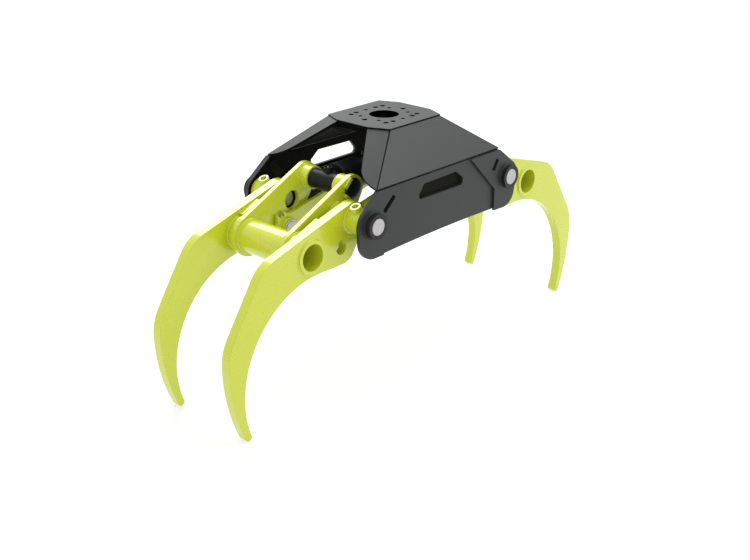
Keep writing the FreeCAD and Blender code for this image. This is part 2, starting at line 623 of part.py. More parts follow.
for jaw, side in (("left", LEFT), ("right", RIGHT)):
    shortening = 0 if side == LEFT else size("right_shortening")
    tine_inner = jaw + "_tine_inner"
    pivot = {"x": signed(side, "pivot_offset"), "z": "-pivot_drop"}
    tube = {"x": signed(side, "pivot_offset + tube_out"), "z": "-pivot_drop - tube_drop"}
    spread = {"x": signed(side, "pivot_offset - spread_in"), "z": "-pivot_drop + spread_up"}
    tube_spot = (side * size("tube_out"), -size("tube_drop"))
    spread_spot = (-side * size("spread_in"), size("spread_up"))
    access_spot = (side * size("access_out"), -size("access_drop"))
    link_spot = (side * size("link_pin_out"), -size("link_pin_down"))

    # the cross tube runs through both tines, both arms and both collars
    tube_half = f"({tine_inner} + tine_thick + tube_proud)"
    keep(ring(jaw + "_cross_tube", "tube_radius", "tube_bore", "2 * " + tube_half, y=tube_half, **tube))

    collars, gussets, bushes, nipples, pin_bosses = [], [], [], [], []
    for name, face in SIDES.items():
        tine_holes = [(0, 0, "sleeve_radius"), (*tube_spot, "tube_radius"), (*access_spot, "access_radius")]
        keep(plate(f"{jaw}_tine_{name}", tine_edges(side, shortening), "tine_thick",
                   y=from_centre(face, tine_inner, "tine_thick"), holes=tine_holes, **pivot))

        arm_holes = [(0, 0, "arm_hole_radius"), (*tube_spot, "tube_radius"), (*spread_spot, "cylinder_pin")]
        if side == LEFT:
            arm_holes.append((*link_spot, "link_pin"))
        keep(plate(f"{jaw}_arm_{name}", arm_edges(side, side == LEFT), "arm_thick",
                   y=from_centre(face, "arm_inner", "arm_thick"), holes=arm_holes, **pivot))

        collar_inner = "arm_inner + arm_thick"
        collars.append(ring(f"{jaw}_collar_{name}", "collar_radius", "tube_radius", "collar_thick",
                            y=from_centre(face, collar_inner, "collar_thick"), **tube))

        # the gusset stands on the tube's crest and ties the collar to the tine
        collar_outer = "arm_inner + arm_thick + collar_thick"
        gusset_width = f"{tine_inner} - ({collar_outer})"
        gussets.append(plate(f"{jaw}_gusset_{name}", gusset_edges(side), gusset_width,
                             y=from_centre(face, collar_outer, gusset_width), **pivot))

        # sleeve with a tilted grease cup, and the bush inside it
        cheek_inner = "cheek_face - cheek_thick - side_clearance"
        sleeve_length = f"{cheek_inner} - ({collar_inner})"
        sleeve_y = from_centre(face, collar_inner, sleeve_length)
        cup_y = signed(face, jaw + "_cup_place")
        tilt = side * size("cup_tilt")
        tilt_out = side * math.sin(math.radians(size("cup_tilt")))
        tilt_up = math.cos(math.radians(size("cup_tilt")))
        floor = size("cup_reach") - size("cup_depth")
        cup_floor = {"x": f"{pivot['x']} + {tilt_out * floor:.6f}", "y": cup_y,
                     "z": f"-pivot_drop + {tilt_up * floor:.6f}", "axis": (0, 1, 0), "angle": tilt}
        sleeve = f"{jaw}_sleeve_{name}"
        outside = bar(sleeve + "_outside", "sleeve_radius", sleeve_length, y=sleeve_y, **pivot)
        cup = bar(sleeve + "_cup", "cup_radius", "cup_reach", y=cup_y, axis=(0, 1, 0), angle=tilt, **pivot)
        bore = bar(sleeve + "_bore", "bush_radius", sleeve_length, y=sleeve_y, **pivot)
        recess = bar(sleeve + "_recess", "cup_bore", "cup_depth", **cup_floor)
        keep(cut(sleeve, fuse(sleeve + "_body", outside, cup), bore, recess))
        bush_inner = collar_inner + " + bush_inset"
        bush_length = f"{cheek_inner} - bush_inset - ({bush_inner})"
        bushes.append(ring(f"{jaw}_bush_{name}", "bush_radius", "pivot_radius + running_clearance",
                           bush_length, y=from_centre(face, bush_inner, bush_length), **pivot))
        nipples.append(nipple(f"{jaw}_nipple_{name}", **cup_floor))

        # bosses inside the arms hold the cylinder's pin; on the right the link eyes sit between two spacers
        spans = [(eye_gap, "arm_inner")]
        if side == RIGHT:
            spans = [(eye_gap, link_near), (link_far, "arm_inner")]
        for count, (near, far) in enumerate(spans):
            length = f"{far} - ({near})"
            label = f"{jaw}_pin_boss_{name}_{count}"
            pin_bosses.append(ring(label, "pin_boss_radius", "cylinder_pin", length,
                                   y=from_centre(face, near, length), **spread))

    keep(group(jaw + "_collars", *collars))
    keep(group(jaw + "_bushes", *bushes))
    keep(group(jaw + "_pin_bosses", *pin_bosses))

    keep(group(jaw + "_gussets", *gussets))
    keep(group(jaw + "_nipples", *nipples))

    # the pin's head has two flats, which keeper bars on the arm stop from turning
    arm_face = size("arm_inner") + size("arm_thick")
    head, shank = size("pin_head_radius"), size("cylinder_pin")
    head_thick, bevel = size("pin_head_thick"), size("pin_chamfer")
    total = head_thick + 2 * arm_face + size("pin_tail")
    profile = [(0, 0), (0, head - bevel), (bevel, head), (head_thick, head), (head_thick, shank)]
    profile += [(total - bevel, shank), (total, shank - bevel), (total, 0)]
    pin_start = "-(arm_inner + arm_thick + pin_head_thick)"
    blank = turned(jaw + "_pin_blank", profile, y=pin_start, angle=90, **spread)
    flats, bars = [], []
    for angle in (135, 225):
        flats.append(beside_head(f"{jaw}_flat_{angle}", "pin_head_radius", "pin_head_thick",
                                 "pin_head_width", angle, spread))
        bars.append(beside_head(f"{jaw}_keeper_{angle}", "keeper_wide", "keeper_thick",
                                "keeper_length", angle, spread))
    keep(cut(jaw + "_cylinder_pin", blank, *flats))
    keep(group(jaw + "_pin_keepers", *bars))


# ---------------------------------------------------------------- cylinder

pin_span = 2 * (pivot_offset - size("spread_in"))
on_axis = {"x": "-(pivot_offset - spread_in)", "z": "-pivot_drop + spread_up"}
far_pin = {"x": "pivot_offset - spread_in", "z": "-pivot_drop + spread_up"}
rod_radius = size("rod_radius")
spigot = size("spigot_radius")
barrel_bore = size("bore_radius")
gland_end = size("gland_start") + size("gland_length")
cap_end = pin_span - size("cap_inset")
cap_start = cap_end - size("cap_length")
rod_end = cap_start - size("end_gap") - size("nut_length") - size("piston_length")
piston_end = rod_end + size("piston_length")
nut_end = piston_end + size("nut_length")


def cylinder_eye(label, where, neck, inward):
    """Eye tube across the end of the cylinder, with a neck and a grease cup, bored to run on its pin"""
    tube = bar(label + "_tube", "eye_radius", "2 * eye_half", y="eye_half", **where)
    bore = bar(label + "_bore", "cylinder_pin + running_clearance", "2 * eye_half", y="eye_half", **where)
    upright = {"x": f"{where['x']} + {inward} * eye_cup_shift", "axis": (0, 0, 1), "angle": 0}
    floor = where["z"] + " + eye_cup_reach - eye_cup_depth"
    cup = bar(label + "_cup", "eye_cup_radius", "eye_cup_reach", z=where["z"], **upright)
    recess = bar(label + "_recess", "eye_cup_bore", "eye_cup_depth", z=floor, **upright)
    keep(nipple(label + "_nipple", z=floor, **upright))
    return cut(label, fuse(label + "_body", tube, neck, cup), bore, recess)


neck_radius, neck_end = size("neck_radius"), size("neck_end")
neck = turned("rod_neck", [(0, 0), (0, neck_radius), (neck_end, neck_radius), (neck_end, 0)], **on_axis)
keep(cylinder_eye("rod_eye", on_axis, neck, 1))
keep(turned("rod", [(neck_end, 0), (neck_end, rod_radius), (rod_end, rod_radius), (rod_end, spigot),
                    (nut_end, spigot), (nut_end, 0)], **on_axis))

# piston with two seals in its grooves, held by a nut
piston_radius = barrel_bore - size("sliding_clearance")
groove_floor = piston_radius - size("seal_depth")
seal_width = size("seal_width")
seal_starts = [rod_end + size("piston_length") * part - seal_width / 2 for part in (0.3, 0.7)]
profile = [(rod_end, spigot), (rod_end, piston_radius)]
seals = []
for count, start in enumerate(seal_starts, 1):
    end = start + seal_width
    profile += [(start, piston_radius), (start, groove_floor), (end, groove_floor), (end, piston_radius)]
    seal = [(start, groove_floor), (start, piston_radius), (end, piston_radius), (end, groove_floor)]
    seals.append(turned(f"piston_seal_{count}", seal, **on_axis))
profile += [(piston_end, piston_radius), (piston_end, spigot)]
keep(turned("piston", profile, **on_axis))
keep(group("piston_seals", *seals))
nut = bind(doc.addObject("Part::Prism", "nut_blank"), Circumradius="nut_radius", Height="nut_length")
nut_place = {"x": f"{on_axis['x']} + {piston_end:.6f}", "z": on_axis["z"], "axis": (0, 1, 0), "angle": 90}
place(nut, **nut_place)
keep(cut("piston_nut", nut, bar("nut_bore", "spigot_radius", "nut_length", **nut_place)))

# barrel with its two oil ports, its gland and its base
barrel_radius = size("barrel_radius")
profile = [(gland_end, barrel_bore), (gland_end, barrel_radius), (cap_start, barrel_radius)]
shell = turned("barrel_shell", profile + [(cap_start, barrel_bore)], **on_axis)
port_bosses, port_holes = [], []
port_spots = {"front": gland_end + size("front_port_inset"), "rear": cap_start - size("port_inset")}
for name, spot in port_spots.items():
    port = {"x": f"{on_axis['x']} + {spot:.6f}", "z": on_axis["z"], "axis": (1, 0, 0), "angle": 0}
    port_bosses.append(bar(f"port_{name}", "port_radius", "barrel_radius + port_stand", **port))
    port_holes.append(bar(f"port_{name}_hole", "port_bore", "barrel_radius + port_stand", **port))
profile = [(gland_end, 0), (gland_end, barrel_bore), (cap_start, barrel_bore), (cap_start, 0)]
inside = turned("barrel_inside", profile, **on_axis)
keep(cut("barrel", fuse("barrel_body", shell, *port_bosses), inside, *port_holes))
gland_bore = rod_radius + size("sliding_clearance")
gland_radius, bevel = size("gland_radius"), size("pin_chamfer")
gland_start, spigot_end = size("gland_start"), gland_end + size("gland_spigot")
keep(turned("gland", [(gland_start, gland_bore), (gland_start, gland_radius - bevel),
                      (gland_start + bevel, gland_radius), (gland_end, gland_radius), (gland_end, barrel_bore),
                      (spigot_end, barrel_bore), (spigot_end, gland_bore)], **on_axis))
base = turned("base_cap", [(cap_start, 0), (cap_start, barrel_radius), (cap_end, barrel_radius),
                           (cap_end, neck_radius), (pin_span, neck_radius), (pin_span, 0)], **on_axis)
keep(cylinder_eye("base_eye", far_pin, base, -1))


# ---------------------------------------------------------------- links between the jaws, and their pins

link_run = pin_span + size("spread_in") + size("link_pin_out")
link_climb = size("spread_up") + size("link_pin_down")
near_pin = {"x": "-(pivot_offset + link_pin_out)", "z": "-pivot_drop - link_pin_down"}


def swung(out, up, angle):
    """Where a point of a jaw, out and up from its pivot, goes when the jaw closes by an angle"""
    return out * math.cos(angle) + up * math.sin(angle), up * math.cos(angle) - out * math.sin(angle)


# the far eye is a slot, because the pin in it drifts while the link keeps level through the stroke
drift_x, drift_z = [], []
for degrees in range(0, int(size("closing_angle")) + 1):
    tied = swung(size("link_pin_out"), -size("link_pin_down"), math.radians(degrees))
    spread_to = swung(-size("spread_in"), size("spread_up"), math.radians(degrees))
    drift_x.append(spread_to[0] + size("spread_in") + tied[0] - size("link_pin_out"))
    drift_z.append(spread_to[1] - size("spread_up") - tied[1] - size("link_pin_down"))
slot_radius = size("cylinder_pin") + (max(drift_x) - min(drift_x)) / 2 + size("link_slot_clearance")
slot_x = link_run + (max(drift_x) + min(drift_x)) / 2
slot_low, slot_high = link_climb + min(drift_z), link_climb + max(drift_z)
lean = math.radians(size("notch_lean"))


def leaning(across, reach):
    """Point across from, and out along, the leaning line on which the near eye's nipple stands"""
    out_x = across * math.cos(lean) - reach * math.sin(lean)
    out_z = across * math.sin(lean) + reach * math.cos(lean)
    return out_x, out_z


def link_edges():
    """Link plate with a wide near end, whose notch leaves two horns that guard the nipple"""
    far = (link_run, link_climb, size("link_half"))
    near = (0, 0, size("link_near_radius"))
    neck_start, far_top = tangent((0, 0, size("link_neck_half")), far)
    far_foot, near_foot = tangent(far, near)
    root = math.radians(size("horn_root"))
    horn_foot = leaning(-near[2] * math.sin(root), near[2] * math.cos(root))
    low_tip = (size("low_horn_spread"), size("low_horn_reach"))
    low_heel = leaning(low_tip[0] + size("low_horn_fall") / 2, low_tip[1] - size("low_horn_fall"))
    along = (low_heel[0] + size("low_horn_fall") - neck_start[0]) / (far_top[0] - neck_start[0])
    web_start = (low_heel[0] + size("low_horn_fall"), neck_start[1] + along * (far_top[1] - neck_start[1]))
    outline = Outline(1, web_start).line(far_top).round(far[:2], far_foot).line(near_foot)
    outline.round(near[:2], horn_foot).line(leaning(-size("horn_spread"), size("horn_reach")))
    for across in (-size("notch_half"), size("notch_half")):
        outline.line(leaning(across, size("notch_floor")))
    outline.line(leaning(*low_tip), low_heel, web_start)
    return outline.edges


clips, link_pins = [], []

for name, face in SIDES.items():
    whole_eye = {"y": from_centre(face, "link_inner", "link_eye_wide"), **near_pin}
    web_inner = "link_inner + link_eye_wide - link_plate"
    web_y = from_centre(face, web_inner, "link_plate")
    web = plate(f"link_{name}_web", link_edges(), "link_plate", y=web_y, **near_pin)
    eye = bar(f"link_{name}_eye", "link_eye_radius", "link_eye_wide", **whole_eye)

    outer = slot_radius + size("link_slot_wall")
    far_outline = hull(1, (slot_x, slot_high, outer), (slot_x, slot_low, outer))
    far_eye = plate(f"link_{name}_far_eye", far_outline, "link_eye_wide", **whole_eye)
    slot_outline = hull(1, (slot_x, slot_high, slot_radius), (slot_x, slot_low, slot_radius))
    slot = plate(f"link_{name}_slot", slot_outline, "link_eye_wide", **whole_eye)
    bore = bar(f"link_{name}_bore", "link_pin + running_clearance", "link_eye_wide", **whole_eye)
    keep(cut("link_" + name, fuse(f"link_{name}_body", web, eye, far_eye), bore, slot))

    # the nipple stands on the floor of the notch
    floor_x, floor_z = leaning(0, size("notch_floor"))
    keep(nipple(f"link_nipple_{name}", x=f"{near_pin['x']} + {floor_x:.6f}",
                y=signed(face, web_inner + " + link_plate / 2"),
                z=f"{near_pin['z']} + {floor_z:.6f}", axis=(0, 1, 0), angle=-size("notch_lean")))

    # a shoulder on the pin keeps the link off the arm, and a clip keeps it on the pin
    pin_radius, shoulder = size("link_pin"), size("shoulder_radius")
    start = size("link_inner") - size("side_clearance") - size("clip_thick") - size("pin_stub")
    shoulder_start = size("link_inner") + size("link_eye_wide") + size("side_clearance") - start
    shoulder_end = size("arm_inner") - start
    pin_end = shoulder_end + size("arm_thick") + size("pin_stub")
    profile = [(0, 0), (0, pin_radius), (shoulder_start, pin_radius), (shoulder_start, shoulder)]
    profile += [(shoulder_end, shoulder), (shoulder_end, pin_radius), (pin_end, pin_radius), (pin_end, 0)]
    link_pins.append(turned("link_pin_" + name, profile, y=f"{face * start:.6f}", angle=90 * face,
                            **near_pin))
    clip_inner = "link_inner - side_clearance - clip_thick"
    clips.append(ring("clip_" + name, "clip_radius", "link_pin", "clip_thick",
                      y=from_centre(face, clip_inner, "clip_thick"), **near_pin))
keep(group("link_pins", *link_pins))
keep(group("link_pin_clips", *clips))


# ---------------------------------------------------------------- check and write

doc.recompute()
for thing in doc.Objects:
    if any(word in state for state in thing.State for word in ("Invalid", "Error")):
        raise RuntimeError(f"{thing.Label} failed: {thing.State}")
labels = [piece.Label for piece in parts]
if len(set(labels)) != len(labels):
    raise RuntimeError("two sub-parts share a name")
for piece in parts:
    if piece.Shape.isNull() or not piece.Shape.isValid() or not piece.Shape.Solids:
        raise RuntimeError(f"{piece.Label} has no valid solid")

os.makedirs("parts", exist_ok=True)
for piece in parts:
    piece.Shape.exportStep(f"parts/{piece.Label}.step")
print(len(parts), "sub-parts written")
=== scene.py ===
import bmesh
import bpy
import json
import math
from mathutils import Matrix, Vector


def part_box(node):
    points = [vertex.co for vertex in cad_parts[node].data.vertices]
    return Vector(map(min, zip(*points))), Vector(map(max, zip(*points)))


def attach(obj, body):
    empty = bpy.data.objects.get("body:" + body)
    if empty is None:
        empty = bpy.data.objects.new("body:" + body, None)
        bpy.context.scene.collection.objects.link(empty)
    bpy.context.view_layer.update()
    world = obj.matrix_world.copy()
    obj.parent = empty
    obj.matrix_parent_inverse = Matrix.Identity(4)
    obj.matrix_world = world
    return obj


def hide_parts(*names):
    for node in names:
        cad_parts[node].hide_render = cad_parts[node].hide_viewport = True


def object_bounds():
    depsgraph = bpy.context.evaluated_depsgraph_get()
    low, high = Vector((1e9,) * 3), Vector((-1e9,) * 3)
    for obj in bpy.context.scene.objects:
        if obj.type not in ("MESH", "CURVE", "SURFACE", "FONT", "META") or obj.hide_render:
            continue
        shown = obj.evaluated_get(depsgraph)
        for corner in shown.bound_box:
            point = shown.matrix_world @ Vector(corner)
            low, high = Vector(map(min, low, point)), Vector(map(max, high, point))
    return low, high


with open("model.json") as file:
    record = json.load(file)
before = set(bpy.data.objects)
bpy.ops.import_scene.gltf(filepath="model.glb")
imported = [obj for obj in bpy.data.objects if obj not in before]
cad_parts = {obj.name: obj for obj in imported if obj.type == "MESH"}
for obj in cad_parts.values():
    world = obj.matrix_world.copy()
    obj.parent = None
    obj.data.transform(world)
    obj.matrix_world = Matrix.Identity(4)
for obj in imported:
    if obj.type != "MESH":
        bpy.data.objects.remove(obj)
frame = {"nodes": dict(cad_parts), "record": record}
cad_box = [list(corner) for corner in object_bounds()]


# ---------------------------------------------------------------- head plate
# The head plate is 20 mm steel, flame cut to an octagon and drilled for the rotator. The whole head is
# welded up and then powder coated in satin anthracite; the cut edge below the rim is painted black and
# metallic as painted shade.

class Value:
    """A number or vector that changes over a surface; arithmetic on it adds Math nodes to its finish"""

    def __init__(self, finish, socket):
        self.finish = finish
        self.socket = socket

    def worked(self, operation, first, second):
        return self.finish.add("ShaderNodeMath", {"operation": operation}, {0: first, 1: second})

    def __add__(self, other):
        return self.worked("ADD", self, other)

    def __radd__(self, other):
        return self.worked("ADD", other, self)

    def __rsub__(self, other):
        return self.worked("SUBTRACT", other, self)

    def __mul__(self, other):
        return self.worked("MULTIPLY", self, other)


class Finish:
    """One painted or machined surface: a shader and the nodes that vary it"""

    def __init__(self, name, **constants):
        self.material = bpy.data.materials.new(name)
        self.material.use_nodes = True
        self.tree = self.material.node_tree
        self.shader = self.tree.nodes["Principled BSDF"]
        self.place = self.add("ShaderNodeTexCoord", {}, {}, "Object")
        for socket, value in constants.items():
            self.shader.inputs[socket.replace("_", " ")].default_value = value

    def add(self, kind, settings, inputs, output=0):
        """Any node: its settings are made first, then its sockets get values or links"""
        node = self.tree.nodes.new(kind)
        for name, value in settings.items():
            setattr(node, name, value)
        for socket, value in inputs.items():
            if isinstance(value, Value):
                self.tree.links.new(value.socket, node.inputs[socket])
            else:
                node.inputs[socket].default_value = value
        return Value(self, node.outputs[output])

    def noise(self, scale, detail=2.0, place=None):
        """Noise about 0.5, with lumps 1 / scale metres across"""
        inputs = {"Vector": place or self.place, "Scale": scale, "Detail": detail}
        return self.add("ShaderNodeTexNoise", {}, inputs, "Fac")

    def stretched(self, x, y, z):
        """Place squeezed along each axis, for grain that runs one way"""
        return self.add("ShaderNodeMapping", {}, {"Vector": self.place, "Scale": (x, y, z)})

    def vector(self, operation, first, second, output=0):
        return self.add("ShaderNodeVectorMath", {"operation": operation}, {0: first, 1: second}, output)

    def part(self, vector, axis):
        return self.add("ShaderNodeSeparateXYZ", {}, {0: vector}, axis)

    def step(self, value, low, high):
        """Smooth step from 0 at low to 1 at high"""
        settings = {"interpolation_type": "SMOOTHSTEP"}
        return self.add("ShaderNodeMapRange", settings, {"Value": value, "From Min": low, "From Max": high})

    def mix(self, amount, low, high):
        """Colour that goes from low to high as the amount goes from 0 to 1"""
        return self.add("ShaderNodeMix", {"data_type": "RGBA"}, {0: amount, 6: low, 7: high}, 2)

    def feed(self, socket, value):
        self.tree.links.new(value.socket, self.shader.inputs[socket])
        return self

    def relief(self, height, strength, depth, edge):
        """Bump from a height, over edges that are rounded to a radius"""
        rounded = self.add("ShaderNodeBevel", {"samples": 6}, {"Radius": edge}, "Normal")
        inputs = {"Height": height, "Strength": strength, "Distance": depth, "Normal": rounded}
        return self.feed("Normal", self.add("ShaderNodeBump", {}, inputs, "Normal"))


def shade(colour, amount):
    """A colour made darker or lighter"""
    return (*[amount * part for part in colour], 1.0)


HEAD_COLOUR = (0.0215, 0.0240, 0.0233)
# near-black painted shade for the faces inside the head
INSIDE_PAINTED_SHADE = (0.011, 0.012, 0.010, 1.0)
# black painted shade for the side of the head plate and along the hood folds
PAINTED_SHADE_BLACK = (0.002, 0.002, 0.002, 1.0)


def head_paint(name, shaded=None, specular=0.38):
    """Satin powder coat with a fine leathery texture; faces inside the head are painted near-black and
    metallic as painted shade
    """
    finish = Finish(name, Specular_IOR_Level=specular)
    drift = finish.noise(7.0, 3.0)
    fine = finish.noise(420.0)
    colour = finish.mix(drift * 0.6 + fine * 0.4, shade(HEAD_COLOUR, 0.9), shade(HEAD_COLOUR, 1.12))

    # outward is where the surface faces away from the middle of the head
    facing = finish.part(finish.add("ShaderNodeNewGeometry", {}, {}, "Normal"), "Y")
    hand = finish.add("ShaderNodeMath", {"operation": "SIGN"}, {0: finish.part(finish.place, "Y")})
    inside = finish.step(0.0 - facing * hand, 0.06, 0.14)
    # faces inside the head get a near-black colour and full metallic as painted shade
    colour = finish.mix(inside, colour, INSIDE_PAINTED_SHADE)
    painted_shade_metal = inside
    if shaded:
        mask = shaded(finish)
        # the shaded mask gets a black colour and full metallic as painted shade
        colour = finish.mix(mask, colour, PAINTED_SHADE_BLACK)
        painted_shade_metal = finish.add("ShaderNodeMath", {"operation": "MAXIMUM"}, {0: inside, 1: mask})
    finish.feed("Metallic", painted_shade_metal)
    finish.feed("Base Color", colour)
    finish.feed("Roughness", 0.40 + drift * 0.06 + fine * 0.04 + inside * 0.3)
    finish.relief(fine, 0.16, 0.00025, 0.0011)
    return finish.material


def dress(material, *names):
    """Give CAD nodes their finish"""
    for name in names:
        slots = frame["nodes"][name].data.materials
        slots.clear()
        slots.append(material)


_, plate_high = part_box("top_plate")
RIM = 0.0008
RIM_BLEND = 0.0006


def below_rim(finish):
    """The side of the head plate, below its softened rim, where black painted shade goes"""
    depth = 0.0 - finish.part(finish.place, "Z")
    return finish.step(depth, RIM, RIM + RIM_BLEND)


dress(head_paint("head_plate_paint", below_rim, 0.5), "top_plate")


# ---------------------------------------------------------------- hoods and ribs
# Each hood is 8 mm sheet: a sloping panel with a wing folded down at each end, welded to the head plate.
# Two arched ribs stand across below the plate. A narrow strip of black painted shade runs along each fold.

hood_low, hood_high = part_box("hood_front")
FOLD_TOP = 0.114
FOLD_TOP_Z = -0.005
FOLD_FOOT_RISE = 0.007
FOLD_SHADE_HALF = 0.0020
FOLD_SHADE_BLEND = 0.0008


def folds(hand):
    """Painted shade along both folds of a hood; hand is -1 for the front one and 1 for the rear one"""
    def painted_fold_shade(finish):
        marks = []
        for top, foot in ((-FOLD_TOP, hood_low.x), (FOLD_TOP, hood_high.x)):
            start = Vector((-hand * top, hand * plate_high.y, FOLD_TOP_Z))
            end = Vector((-hand * foot, -hand * hood_low.y, hood_low.z + FOLD_FOOT_RISE))
            along = (end - start).normalized()
            across = finish.vector("CROSS_PRODUCT", finish.vector("SUBTRACT", finish.place, start), along)
            marks.append(finish.vector("LENGTH", across, (0, 0, 0), "Value"))
        nearest = finish.add("ShaderNodeMath", {"operation": "MINIMUM"}, {0: marks[0], 1: marks[1]})
        return 1.0 - finish.step(nearest, FOLD_SHADE_HALF, FOLD_SHADE_HALF + FOLD_SHADE_BLEND)
    return painted_fold_shade


dress(head_paint("hood_front_paint", folds(-1)), "hood_front")
dress(head_paint("hood_rear_paint", folds(1)), "hood_rear")
plain_head_paint = head_paint("head_paint")
dress(plain_head_paint, "rib_left", "rib_right")


# ---------------------------------------------------------------- cheeks, doublers and liners
# The cheeks are 10 mm plates below the hoods, with a flame-cut window. A doubler lies outside each short
# end, and a liner between the pivots inside. The liners and the dark plates behind the slanted slots are
# painted near-black as painted shade.

dress(plain_head_paint, "cheek_front", "cheek_rear", "outer_doubler_front", "outer_doubler_rear")

# near-black painted shade for the liners and for the plates behind the slots
shadow_paint = Finish("shadow_paint", Specular_IOR_Level=0.12, Base_Color=(0.006, 0.0065, 0.003, 1.0))
shadow_paint.feed("Roughness", 0.7 + shadow_paint.noise(90.0) * 0.2)
shadow_paint.relief(shadow_paint.noise(420.0), 0.15, 0.0003, 0.001)
dress(shadow_paint.material, "inner_doubler_front", "inner_doubler_rear")


def finished(name, mesh_maker, body, material, smooth_angle=40.0):
    """Turn a bmesh into a named piece on a body, smooth except at its corners"""
    bmesh.ops.remove_doubles(mesh_maker, verts=mesh_maker.verts, dist=0.00001)
    bmesh.ops.recalc_face_normals(mesh_maker, faces=mesh_maker.faces)
    for face in mesh_maker.faces:
        face.smooth = True
    for line in mesh_maker.edges:
        line.smooth = line.is_manifold and line.calc_face_angle() < math.radians(smooth_angle)
    mesh = bpy.data.meshes.new(name)
    mesh_maker.to_mesh(mesh)
    mesh_maker.free()
    mesh.materials.append(material)
    piece = bpy.data.objects.new(name, mesh)
    bpy.context.scene.collection.objects.link(piece)
    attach(piece, body)
    return piece


cheek_low, cheek_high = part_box("cheek_front")
cheek_inner = cheek_high.y
SHADE_PLATE_THICK = 0.003
SHADE_PLATE_EDGE = 0.0006
SHADE_PLATE_SIZE = (0.030, 0.062)
# middle of each dark plate of painted shade behind a slot in the front cheek (x, z), and how far it leans
# from upright
shade_plates = {"long": (-0.2405, -0.1690, math.radians(48.5)), "short": (0.2430, -0.1645, math.radians(33.7))}
for end, (x, z, lean) in shade_plates.items():
    for name, turn in (("front", 0.0), ("rear", math.pi)):
        maker = bmesh.new()
        bmesh.ops.create_cube(maker, size=1.0)
        bmesh.ops.scale(maker, verts=maker.verts, vec=(SHADE_PLATE_SIZE[0], SHADE_PLATE_THICK, SHADE_PLATE_SIZE[1]))
        bmesh.ops.bevel(maker, geom=maker.edges, offset=SHADE_PLATE_EDGE, offset_type="OFFSET", segments=2,
                        profile=0.5, affect="EDGES", material=-1)
        bmesh.ops.rotate(maker, verts=maker.verts, matrix=Matrix.Rotation(lean, 3, "Y"))
        spot = Vector((x, cheek_inner + SHADE_PLATE_THICK / 2, z))
        bmesh.ops.translate(maker, verts=maker.verts, vec=spot)
        bmesh.ops.rotate(maker, verts=maker.verts, matrix=Matrix.Rotation(turn, 3, "Z"))
        finished(f"slot_shade_plate_{end}_{name}", maker, "frame", shadow_paint.material)


# ---------------------------------------------------------------- pivot bosses and pins
# Turned bosses, painted black, carry the ends of the pivot pins. The pins are ground steel with faced ends
# that show fine turning rings. A fillet weld runs round each boss.

boss_paint = Finish("boss_paint", Specular_IOR_Level=0.3, Base_Color=(0.010, 0.011, 0.011, 1.0))
boss_paint.feed("Roughness", 0.38 + boss_paint.noise(60.0) * 0.12)
boss_paint.relief(boss_paint.noise(420.0), 0.12, 0.0003, 0.0012)
dress(boss_paint.material, "pivot_bosses")


def ground_steel(name, colour, rings_at):
    """Faced and ground steel; rings_at gives the axis (x, z) that its turning rings run round"""
    finish = Finish(name, Metallic=1.0)
    axis = (-rings_at[0], 0, -rings_at[1])
    flattened = {"Vector": finish.place, "Location": axis, "Scale": (1.0, 0.0, 1.0)}
    flat = finish.add("ShaderNodeMapping", {}, flattened)
    reach = finish.vector("LENGTH", flat, (0, 0, 0), "Value")
    turn_marks = finish.add("ShaderNodeMath", {"operation": "SINE"}, {0: reach * 9000.0})
    cloud = finish.noise(55.0, 3.0)
    finish.feed("Base Color", finish.mix(cloud, shade(colour, 0.88), shade(colour, 1.1)))
    finish.feed("Roughness", 0.42 + cloud * 0.12)
    finish.relief(turn_marks, 0.06, 0.0001, 0.0007)
    return finish.material


PIN_STEEL = (0.50, 0.485, 0.49)
joints = {joint["name"]: joint for joint in frame["record"]["behaviour"]["joints"]}
pivot_x, _, pivot_z = joints["right_jaw_swing"]["pos_m"]
pivots = {"left": -pivot_x, "right": pivot_x}
for side, x in pivots.items():
    pin_steel = ground_steel(f"{side}_pivot_steel", PIN_STEEL, (x, pivot_z))
    dress(pin_steel, f"pivot_pin_front_{side}", f"pivot_pin_rear_{side}")


# section of a bead in leg lengths, out from the tube and up from the plate; it is sunk a little into both
BEAD = [(-0.3, -0.2), (1.0, -0.2), (0.92, 0.22), (0.62, 0.6), (0.24, 0.9), (-0.3, 1.0)]
BEAD_STEP = 0.0022
RIPPLE_LENGTH = 0.0055
RIPPLE_SWELL = 0.06


def ring_bead(name, spots, body, material):
    """Fillet welds round tubes; spots are (x, z, radius, y of the face, side that the bead is on, leg)"""
    maker = bmesh.new()
    for x, z, radius, face_y, side, leg in spots:
        points = []
        for out, rise in BEAD:
            points.append(maker.verts.new((x + radius + out * leg, face_y + side * rise * leg, z)))
        lines = [maker.edges.new((points[i - 1], points[i])) for i in range(len(points))]
        turns = max(48, int(math.tau * radius / BEAD_STEP))
        bmesh.ops.spin(maker, geom=points + lines, cent=(x, 0, z), axis=(0, 1, 0), angle=math.tau,
                       steps=turns, use_merge=True)
        ripples = int(math.tau * radius / RIPPLE_LENGTH)
        for vert in maker.verts:
            across = Vector((vert.co.x - x, 0, vert.co.z - z))
            out = across.length - radius
            if abs(out) >= 1.5 * leg or abs(vert.co.y - face_y) >= 1.5 * leg:
                continue
            turn = math.atan2(across.z, across.x)
            swell = RIPPLE_SWELL * leg * math.sin(ripples * turn)
            if out > 0.1 * leg:
                vert.co += across.normalized() * swell
            if abs(vert.co.y - face_y) > 0.3 * leg:
                vert.co.y += side * swell
    return finished(name, maker, body, material, 60.0)


boss_spots = []
BOSS_RADIUS = 0.037
BOSS_LEG = 0.0035
doubler_low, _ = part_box("outer_doubler_front")
for side, x in pivots.items():
    for hand in (-1, 1):
        face = cheek_low.y if (hand < 0) == (x < 0) else doubler_low.y
        boss_spots.append((x, pivot_z, BOSS_RADIUS, -hand * face, hand, BOSS_LEG))
ring_bead("boss_welds", boss_spots, "frame", boss_paint.material)


